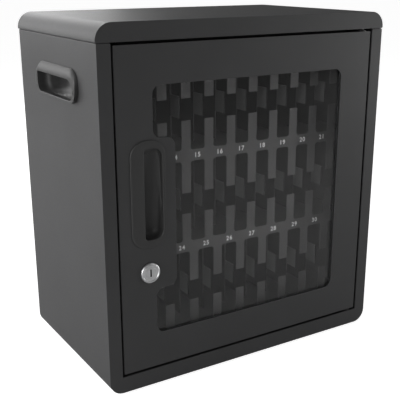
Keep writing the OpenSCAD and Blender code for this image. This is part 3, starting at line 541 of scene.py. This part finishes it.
def recessed_handle(length, width, lip, end, rim, proud, crown, slopes, depths, trough, wide):
    """Moulded cup with a bezel. Across x it has a broad lip, the opening and a thin rim; y runs
    along it and z stands out of the sheet.

    Over the crown's width the lip is an arc whose slope s falls from the first to the second of
    slopes (radians): it has gone in by crown (sin s0 - sin s) / (sin s0 - sin s1) and up by a
    share (cos s - cos s0) / (cos s1 - cos s0) of its height. The other sides stand in by
    BEZEL_EDGE (1 - sqrt(1 - (z / proud)^BEZEL_POWER)), and the foot by FOOT_GAP.

    The opening drops through the lip, widens under it, and meets a floor whose depth runs from
    the first of depths at -y to the second at +y, with the cup's underside below it. Near the
    walls the floor is a trough: at a share e of the trough's radius r from the wall it lies
    r (1 - sqrt(1 - (1 - e)^2)) higher. trough gives that radius across and the reach along. The
    opening's corner at the lip's +y end is an arc of radius wide."""
    turn = np.linspace(0, np.pi / 2, ROUND_RINGS)
    rise, inward = np.sin(turn), 1 - np.cos(turn)
    far_x = width - rim
    half = length / 2 - end
    under = lip - UNDER_LIP
    deep, shallow = depths

    def lowest(flat):
        """Height of the floor's lowest line at each point of the outlines."""
        return -(deep + (shallow - deep) * np.clip(flat[..., 1] / (2 * half) + 0.5, 0, 1))

    def at_height(flat, z):
        """Outlines lifted to z, one height for each ring or for each point."""
        z = np.asarray(z, float)
        z = z[:, None] if z.ndim == 1 else z
        return np.concatenate((flat, np.broadcast_to(z, flat.shape[:2])[..., None]), axis=-1)

    # Outside of the cup, from its underside up to the bezel's back
    grown = CUP_WALL * np.array([0.0, 1.0, 1.0])
    cup = rounded_rings(under - grown, far_x + grown, half + grown,
                        OPENING_NEAR + grown, OPENING_FAR + grown)
    low = lowest(cup[0])
    outside = at_height(cup, np.stack((low - CUP_WALL, low, np.full_like(low, -BEZEL_BACK))))
    # Bezel: its foot on the sheet, then the crown
    slope = np.linspace(slopes[0], slopes[1], CROWN_RINGS)
    reach = (np.sin(slopes[0]) - np.sin(slope)) / (np.sin(slopes[0]) - np.sin(slopes[1]))
    climb = (np.cos(slope) - np.cos(slopes[0])) / (np.cos(slopes[1]) - np.cos(slopes[0]))
    at_lip = np.concatenate(([FOOT_GAP, FOOT_GAP], crown * reach))
    z = np.concatenate(([0.0, GAP_HEIGHT], GAP_HEIGHT + (proud - GAP_HEIGHT) * climb))
    at_side = BEZEL_EDGE * (1 - np.sqrt(1 - (z / proud) ** BEZEL_POWER))
    at_side[:2] = FOOT_GAP
    corner = (width - at_lip - at_side) * BEZEL_ROUND
    bezel = at_height(rounded_rings(at_lip, width - at_side, length / 2 - at_side,
                                    corner, corner), z)
    # Rounded edge of the opening, its wall, and the way out under the lip
    down = EDGE_ROUND * (1 - rise)
    edge = at_height(rounded_rings(lip - down, far_x + down, half + down, OPENING_NEAR + down,
                                   OPENING_FAR + down, wide + down),
                     proud - EDGE_ROUND * inward)
    wall = at_height(rounded_rings([lip, lip - WALL_LEAN, under], far_x, half,
                                   OPENING_NEAR, OPENING_FAR, [wide, wide, OPENING_NEAR]),
                     [EDGE_ROUND - LIP_THICK, -LIP_THICK, -LIP_THICK])
    # Trough, whose last rings close up towards its middle line
    across, along = trough
    share = np.concatenate((1 - np.cos(turn), [LAST_SHARE]))
    inset_x = np.minimum(across * share, MOST_INSET * (far_x - under))
    inset_y = along * share
    floor = rounded_rings(under + inset_x, far_x - inset_x, half - inset_y,
                          np.maximum(OPENING_NEAR - inset_x, LEAST_CORNER),
                          np.maximum(OPENING_FAR - inset_x, LEAST_CORNER))
    left = 1 - np.minimum(share, 1)
    lift = across * (1 - np.sqrt(np.maximum(1 - left ** 2, 0)))
    inside = at_height(floor, np.minimum(lowest(floor) + lift[:, None], -LIP_THICK))
    return closed_loft(np.concatenate((outside, bezel, edge, wall, inside)))


def door_pull():
    """Recessed pull on the door: the lip towards the door's free edge, the deep end below."""
    low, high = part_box("door_pull")
    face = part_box("door_panel")[0].y
    surface = recessed_handle(
        length=high.z - low.z, width=high.x - low.x, lip=17 * MM, end=10 * MM, rim=3.4 * MM,
        proud=face - low.y, crown=3 * MM, slopes=(math.radians(80), 0.0),
        depths=(high.y - face - CUP_WALL, 5 * MM), trough=(11 * MM, 9 * MM), wide=5 * MM)
    place = (low.x, face, (low.z + high.z) / 2)
    new_piece("door_pull_moulding", [moved(surface, TO_FRONT, place)], FINISHES["moulding"],
              "door", ("door_pull",))


def side_hand_holds():
    """Recessed hand-holds on both sides: the lip on top, the deep end to the rear."""
    for side, node in ((-1, "side_handle_left"), (1, "side_handle_right")):
        low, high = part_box(node)
        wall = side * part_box("body_shell")[1].x
        outer = high.x if side > 0 else low.x
        inner = low.x if side > 0 else high.x
        surface = recessed_handle(
            length=high.y - low.y, width=high.z - low.z, lip=12.4 * MM, end=6.5 * MM,
            rim=3.2 * MM, proud=abs(outer - wall), crown=10.5 * MM,
            slopes=(math.radians(74), math.radians(4)),
            depths=(abs(wall - inner) - CUP_WALL, 3.5 * MM), trough=(14 * MM, 34 * MM),
            wide=15 * MM)
        # Across the moulding is down, along it is to the front, and out of it is to the side
        turn = ((0, 0, side), (0, -1, 0), (-1, 0, 0))
        place = (wall, (low.y + high.y) / 2, high.z)
        new_piece(node + "_moulding", [moved(surface, turn, place)], HAND_HOLD_PLASTIC_SHADED,
                  "cabinet", (node,))


# ------------------------------------------------------------------ sheet-steel pieces

# Radii of the door's folds and of cut edges, and of the edges of the other pieces
FOLD_ROUND = 1.2 * MM
CUT_ROUND = 0.3 * MM
BODY_ROUND = 0.35 * MM
COVER_ROUND = 0.45 * MM
RACK_ROUND = 0.2 * MM
DIVIDER_ROUND = 0.02 * MM
# Points this near to a side of the door's box lie on it
ON_SIDE = 0.3 * MM
# Each side of the seam under the cover draws back by the gap, as far as it reaches from the seam
SEAM_GAP = 0.15 * MM
SEAM_REACH = 1.5 * MM
RACK_SHEETS = ("comb_bottom", "comb_lower", "comb_upper", "comb_top",
               "shelf_bottom", "shelf_lower", "shelf_upper", "shelf_top",
               "rack_side_left", "rack_side_right")
DIVIDERS = ("dividers_bottom_tier", "dividers_middle_tier", "dividers_top_tier")


def door_edges(middles):
    """Share of the fold's radius at each edge of the door: full on the outer folds of the tray,
    and that of a cut edge elsewhere."""
    low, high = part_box("door_panel")
    x, y, z = middles.T
    on_x = (np.abs(x - low.x) < ON_SIDE) | (np.abs(x - high.x) < ON_SIDE)
    on_z = (np.abs(z - low.z) < ON_SIDE) | (np.abs(z - high.z) < ON_SIDE)
    on_face = np.abs(y - low.y) < ON_SIDE
    fold = (on_face & (on_x | on_z)) | (on_x & on_z)
    return np.where(fold, 1.0, CUT_ROUND / FOLD_ROUND)


def sheet_steel():
    """Cabinet, cover, door and rack with the small radii of folded and cut sheet."""
    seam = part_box("top_cover")[0].z

    def upwards(where, distance):
        """Moves the points where the condition holds up by a distance."""
        shift = np.zeros((len(where), 3))
        shift[where, 2] = distance
        return shift

    def lowered(points):
        """The body's top flanges and stile ends sink by SEAM_GAP."""
        return upwards(points[:, 2] > seam - SEAM_REACH, -SEAM_GAP)

    def raised(points):
        """The cover's lower flange and skirt edge rise by SEAM_GAP."""
        return upwards(points[:, 2] < seam + SEAM_REACH, SEAM_GAP)

    softened("body_shell", "powder_coat", BODY_ROUND, shift=lowered, finish=CABINET_COAT_SHADED_INSIDE)
    softened("top_cover", "powder_coat", COVER_ROUND, shift=raised)
    softened("door_panel", "powder_coat", FOLD_ROUND, door_edges, segments=3)
    for node in ("top_rail", "back_panel"):
        softened(node, "powder_coat", CUT_ROUND, finish=CABINET_COAT_SHADED_INSIDE)
    for node in RACK_SHEETS:
        softened(node, "rack_coat", RACK_ROUND, segments=1)
    for node in DIVIDERS:
        softened(node, "rack_coat", DIVIDER_ROUND, segments=1, finish=DIVIDER_COAT_LIT_AND_SHADED)


# ------------------------------------------------------------------ lock

LOCK_BARREL = 19 * MM
BORE_PLAY = 0.1 * MM
# Radius of the rim's outer edge, and the plug's edges
RIM_QUARTER = 1.7 * MM
PLUG_ROUND = 0.2 * MM
# Section of the rim in millimetres: its foot as (in from its edge, out from the door), and its
# groove as (in from its edge, down from its top)
RIM_FOOT = ((0.8, 0.0), (0.8, 0.35), (0.0, 0.5))
RIM_GROOVE = ((2.1, 0.02), (2.5, 0.5), (2.8, 0.9), (3.2, 0.6))
# Edge of the bore in millimetres, as (out from the bore, down from the rim's top)
BORE_EDGE = ((0.25, 0.55), (0.0, 0.8))
# Points round a turned piece, and rings over the rim's outer edge
LATHE_POINTS = 64
RIM_RINGS = 7


def turned(profile):
    """Closed solid of revolution about +Z, round a bore: profile lists (radius, height) round its
    section, and each of its points becomes a ring of radius r at height z."""
    profile = np.asarray(profile, float)
    angle = np.linspace(0, 2 * np.pi, LATHE_POINTS, endpoint=False)
    rings = np.empty((len(profile), LATHE_POINTS, 3))
    rings[..., 0] = profile[:, :1] * np.cos(angle)
    rings[..., 1] = profile[:, :1] * np.sin(angle)
    rings[..., 2] = profile[:, 1:]
    return closed_loft(rings, ends=False)


def lock():
    """Turned lock housing: a barrel with the plug's bore, and a rim whose outer edge is a quarter
    round, r = R - q (1 - sin t) and z = h - q (1 - cos t); inside it a groove falls to the face.
    The plug keeps its shape, with rounded edges."""
    low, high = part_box("lock_housing")
    plug_low, plug_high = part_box("lock_plug")
    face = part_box("door_panel")[0].y
    rim, proud, back = (high.x - low.x) / 2, face - low.y, face - high.y
    bore = (plug_high.x - plug_low.x) / 2 + BORE_PLAY
    foot, groove, mouth = (np.array(points) * MM for points in (RIM_FOOT, RIM_GROOVE, BORE_EDGE))
    turn = np.linspace(np.pi / 2, 0, RIM_RINGS)
    quarter = np.stack((np.sin(turn), np.cos(turn)), axis=-1)
    profile = np.concatenate((
        [(bore, back), (LOCK_BARREL / 2, back), (LOCK_BARREL / 2, 0)],
        (rim, 0) + foot * (-1, 1),
        (rim, proud) - RIM_QUARTER * (1 - quarter),
        (rim, proud) - groove,
        (bore, proud) + mouth * (1, -1)))
    place = (low.x + high.x) / 2, face, (low.z + high.z) / 2
    new_piece("lock_housing_turned", [moved(turned(profile), TO_FRONT, place)],
              FINISHES["plated_steel"], "door", ("lock_housing",))
    softened("lock_plug", "plated_steel", PLUG_ROUND, finish=PLUG_PLATING)


# ------------------------------------------------------------------ pan-head screws

SCREW_HEAD = 3.8 * MM
SCREW_SHANK = 2.0 * MM
# Heights as shares of the head's: its straight side, the rounded edge above it, and how much
# lower the dome is at the head's radius than in its middle
HEAD_SIDE, EDGE_RISE, DOME_DROP = 0.45, 0.33, 0.25
# Width of the rounded edge, and the turns in radians from which and to which it runs
EDGE_WIDTH = 0.4 * MM
EDGE_FROM, EDGE_TO = 0.3, 1.57
# Radii of the dome's outermost and innermost rings
DOME_FROM, DOME_TO = 3.2 * MM, 0.05 * MM
# Cross recess: how far it reaches, half its slots' width, its depth as a share of the head's
# height, and how wide its sloping sides and ends are
RECESS_REACH = 2.1 * MM
RECESS_HALF = 0.55 * MM
RECESS_DEPTH = 0.9
RECESS_SIDE = 0.25 * MM
RECESS_END = 0.6 * MM
# Points round a screw, and rings over its rounded edge and its dome
SCREW_POINTS, EDGE_RINGS, DOME_RINGS = 72, 5, 26
# Heights of the back panel's screws up its edges, and places of those along its foot
BACK_SCREW_Z = (43.0 * MM, 208.6 * MM, 384.2 * MM)
BACK_BASE = (100.0125 * MM, 11.61 * MM)
# Heights of the heads under the base
BASE_HEADS = (("rack_screws", 1.8 * MM), ("foot_screws", 1.2 * MM))


def pan_screw(head, length):
    """Screw along +Z with a cross recess in its head, whose seat is z = 0. The head is the dome
    h (1 - DOME_DROP (r / R)^2) with a rounded edge, less RECESS_DEPTH of its height where
    min(|x|, |y|) < RECESS_HALF and max(|x|, |y|) < RECESS_REACH, with sloping sides."""
    turn = np.linspace(EDGE_FROM, EDGE_TO, EDGE_RINGS)
    dome = np.linspace(DOME_FROM, DOME_TO, DOME_RINGS)
    reach = np.concatenate(([SCREW_SHANK, SCREW_SHANK, SCREW_HEAD, SCREW_HEAD],
                            SCREW_HEAD - EDGE_WIDTH * (1 - np.cos(turn)), dome))
    height = np.concatenate(([-length, 0.0, 0.0, HEAD_SIDE * head],
                             head * (HEAD_SIDE + EDGE_RISE * np.sin(turn)),
                             head * (1 - DOME_DROP * (dome / SCREW_HEAD) ** 2)))
    angle = np.linspace(0, 2 * np.pi, SCREW_POINTS, endpoint=False)
    x, y = reach[:, None] * np.cos(angle), reach[:, None] * np.sin(angle)
    near = np.clip((RECESS_HALF - np.minimum(abs(x), abs(y))) / RECESS_SIDE, 0, 1)
    along = np.clip((RECESS_REACH - np.maximum(abs(x), abs(y))) / RECESS_END, 0, 1)
    sunk = near * along * RECESS_DEPTH
    sunk[:-DOME_RINGS] = 0
    return closed_loft(np.stack((x, y, height[:, None] - sunk * head), axis=-1))


def screws():
    """The screws that show on the back and under the base."""
    low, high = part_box("back_panel_screws")
    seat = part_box("back_panel")[1].y
    edge = high.x - SCREW_HEAD
    places = [(x, seat, z) for x in (-edge, edge) for z in BACK_SCREW_Z]
    places += [(x, seat, BACK_BASE[1]) for x in (-BACK_BASE[0], BACK_BASE[0])]
    surface = pan_screw(high.y - seat, seat - low.y)
    new_piece("back_panel_pan_screws", [moved(surface, TO_REAR, place) for place in places],
              FINISHES["zinc"], "cabinet", ("back_panel_screws",))
    for node, head in BASE_HEADS:
        low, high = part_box(node)
        surface = pan_screw(head, high.z - low.z - head)
        places = [(x, y, low.z + head)
                  for x in (low.x + SCREW_HEAD, high.x - SCREW_HEAD)
                  for y in (low.y + SCREW_HEAD, high.y - SCREW_HEAD)]
        new_piece(node + "_pan_heads", [moved(surface, UPSIDE_DOWN, place) for place in places],
                  FINISHES["zinc"], "cabinet", (node,))


# ------------------------------------------------------------------ slot numbers

DIGIT_HEIGHT = 5.9 * MM
# How much bolder the strokes are, how far the digits stand apart, and the ink's thickness
DIGIT_BOLDER = 0.2 * MM
DIGIT_SPACING = 1.2
INK_THICK = 0.04 * MM
# Height of a digit as a share of the type's size, and points along each part of its curves
CAPITAL_SHARE = 0.73
DIGIT_POINTS = 6
# Each tier's name, first number, count, pitch in millimetres, and the comb that carries them
NUMBER_TIERS = (
    ("top", 1, 11, 31.75, "comb_top"),
    ("middle", 12, 11, 31.75, "comb_upper"),
    ("bottom", 23, 8, 34.75, "comb_lower"),
)
# Middle of the lowest comb's strip above the base, the tiers' pitch, and the feet's height
LOWEST_STRIP = 44.5 * MM
TIER_PITCH = 114.2 * MM
FEET = 3 * MM


def number_mesh(text):
    """Mesh of a number lying in its own x-y plane, centred on its origin and DIGIT_HEIGHT tall."""
    curve = bpy.data.curves.new("number_" + text, "FONT")
    curve.body = text
    curve.size = DIGIT_HEIGHT / CAPITAL_SHARE
    curve.offset = DIGIT_BOLDER
    curve.space_character = DIGIT_SPACING
    curve.extrude = INK_THICK / 2
    curve.resolution_u = DIGIT_POINTS
    curve.align_x = "CENTER"
    maker = in_scene("number_maker", curve)
    evaluated = maker.evaluated_get(bpy.context.evaluated_depsgraph_get())
    mesh = bpy.data.meshes.new_from_object(evaluated)
    bpy.data.objects.remove(maker)
    points = np.empty((len(mesh.vertices), 3), np.float32)
    mesh.vertices.foreach_get("co", points.ravel())
    points[:, :2] -= (points.min(0) + points.max(0))[:2] / 2
    faces = [list(f.vertices) for f in mesh.polygons]
    bpy.data.meshes.remove(mesh)
    return points, faces


def slot_numbers():
    """Numbers 1 to 30 printed on the combs' strips, each above its slot."""
    for tier, (words, first, count, pitch, comb) in enumerate(NUMBER_TIERS):
        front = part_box(comb)[0].y - INK_THICK / 2
        height = LOWEST_STRIP + (len(NUMBER_TIERS) - tier) * TIER_PITCH + FEET
        parts = [moved(number_mesh(str(first + i)), TO_FRONT,
                       ((i - (count - 1) / 2) * pitch * MM, front, height))
                 for i in range(count)]
        new_piece("slot_numbers_" + words, parts, INK, "cabinet")


# ------------------------------------------------------------------ camera, lamps and stage

# The photograph's view: its focal length and width in pixels, the camera's place, its turn to the
# right and up in degrees, and the shift of its middle as shares of the width
FOCAL_PIXELS = 766.0
FRAME_PIXELS = 400.0
CAMERA_PLACE = (-0.5272, -0.85615, 0.4877)
CAMERA_YAW = 32.12
CAMERA_PITCH = -17.72
PRINCIPAL_SHIFT = (-0.0208, 0.0320)
# The sensor's width in millimetres, and how near and far the camera sees
SENSOR = 36.0
NEAR_CLIP, FAR_CLIP = 0.05, 100.0

# Each lamp's name, place, size and power. Lamps are turned towards the box's middle and spread
# their light evenly, but for the last one, which has its own aim and the spread of its beam in
# degrees.
BOX_MIDDLE = (0, 0, 0.22)
LAMPS = (
    ("side_lamp", (-2.4, -0.15, 0.6), (1.4, 1.4), 37),
    ("side_rear_lamp", (-1.2, 2.0, 0.8), (1.2, 1.0), 10),
    ("rear_lamp", (0.35, 2.0, 0.95), (0.9, 0.8), 4.8),
    ("high_rear_lamp", (-0.1, 1.9, 1.3), (1.4, 0.8), 7.5),
    ("high_side_lamp", (-1.8, 0.3, 1.6), (1.2, 1.0), 8.2),
    ("right_front_lamp", (2.72, -1.42, 0.14), (0.3, 0.35), 18.5),
    ("left_front_lamp", (-1.6, -1.6, 0.9), (1.0, 1.0), 5.0),
    ("floor_front_lamp", (0.95, -0.95, 1.1), (0.7, 0.7), 0.7, (0.6, -0.55, 0), 80),
)
# Light of the world, and its white as the camera sees it
AIR_LIGHT = 0.128
AIR_WHITE = 1.0
# Half the floor's width, its grey in the lamps' light, and its grey and glow to the camera
FLOOR_REACH = 20.0
FLOOR_LIT = (0.7, 0.7, 0.7, 1)
FLOOR_SEEN = (0.6, 0.6, 0.6, 1)
FLOOR_GLOW = 0.9
WHITE = (1, 1, 1, 1)


def camera():
    """Camera at the photograph's viewing angle."""
    data = bpy.data.cameras.new("camera")
    data.sensor_width = SENSOR
    data.lens = FOCAL_PIXELS / FRAME_PIXELS * SENSOR
    data.shift_x, data.shift_y = PRINCIPAL_SHIFT
    data.clip_start, data.clip_end = NEAR_CLIP, FAR_CLIP
    obj = in_scene("camera", data)
    obj.location = CAMERA_PLACE
    obj.rotation_euler = (math.radians(90 + CAMERA_PITCH), 0, math.radians(-CAMERA_YAW))
    bpy.context.scene.camera = obj


def softbox(name, place, size, power, aim=BOX_MIDDLE, spread=180):
    """Rectangular area lamp of a size (width, height) at a place, turned towards a point."""
    data = bpy.data.lights.new(name, "AREA")
    data.shape = "RECTANGLE"
    data.size, data.size_y = size
    data.energy = power
    data.spread = math.radians(spread)
    obj = in_scene(name, data)
    obj.location = place
    obj.rotation_euler = (Vector(aim) - Vector(place)).to_track_quat("-Z", "Y").to_euler()


def white_to_camera(tree, lit, seen):
    """Mixes the lit shader with the seen one for rays from the camera, straight or through glass.
    Rays that have met a matt or a mirroring surface see the lit one, so the white adds no
    light."""
    path = tree.node("ShaderNodeLightPath").outputs
    first = tree.number("MAXIMUM", path["Is Camera Ray"], path["Is Transmission Ray"])
    met = tree.number("ADD", path["Diffuse Depth"], path["Glossy Depth"])
    share = tree.number("MULTIPLY", first, tree.number("LESS_THAN", met, 0.5))
    return tree.node("ShaderNodeMixShader", {0: share, 1: lit, 2: seen}).outputs[0]


def studio():
    """White floor that keeps the box's shadow, a white world behind it, and soft lamps."""
    mesh = bpy.data.meshes.new("floor")
    mesh.from_pydata([(-FLOOR_REACH, -FLOOR_REACH, 0), (FLOOR_REACH, -FLOOR_REACH, 0),
                      (FLOOR_REACH, FLOOR_REACH, 0), (-FLOOR_REACH, FLOOR_REACH, 0)],
                     [], [(0, 1, 2, 3)])
    floor = in_scene("floor", mesh)
    paint = bpy.data.materials.new("floor_white")
    paint.use_nodes = True
    tree = Tree(paint.node_tree)
    tree.nodes.remove(tree.nodes["Principled BSDF"])
    lit = tree.node("ShaderNodeBsdfDiffuse", {"Color": FLOOR_LIT}).outputs[0]
    white = tree.node("ShaderNodeBsdfDiffuse", {"Color": FLOOR_SEEN}).outputs[0]
    glow = tree.node("ShaderNodeEmission", {"Strength": FLOOR_GLOW}).outputs[0]
    seen = tree.node("ShaderNodeAddShader", {0: white, 1: glow}).outputs[0]
    tree.feed(tree.nodes["Material Output"].inputs["Surface"], white_to_camera(tree, lit, seen))
    floor.data.materials.append(paint)

    world = bpy.data.worlds.new("studio")
    bpy.context.scene.world = world
    world.use_nodes = True
    tree = Tree(world.node_tree)
    air = tree.nodes["Background"]
    tree.feed(air.inputs["Color"], WHITE)
    tree.feed(air.inputs["Strength"], AIR_LIGHT)
    sky = tree.node("ShaderNodeBackground", {"Color": WHITE, "Strength": AIR_WHITE})
    tree.feed(tree.nodes["World Output"].inputs["Surface"],
              white_to_camera(tree, air.outputs[0], sky.outputs[0]))

    for lamp in LAMPS:
        softbox(*lamp)


# ------------------------------------------------------------------ the whole box

# Pieces beside the door's gap, where no bright metal shows
BLACK_PLATED = ("lower_hinge_plate", "upper_hinge_plate", "lower_hinge_pin", "upper_hinge_pin",
                "rail_screws")


def coat_nodes():
    """Gives every CAD node the finish of its slot in the record, or black plating."""
    slots = {row["node"]: row["material_slot"] for row in frame["record"]["subparts"]}
    for node, obj in NODES.items():
        finish = HINGE_PLATING if node in BLACK_PLATED else FINISHES[slots[node]]
        for i in range(len(obj.data.materials)):
            obj.data.materials[i] = finish


camera()
studio()
coat_nodes()
sheet_steel()
screws()
lock()
door_pull()
side_hand_holds()
slot_numbers()

view = bpy.context.scene.view_settings
view.view_transform = "Standard"
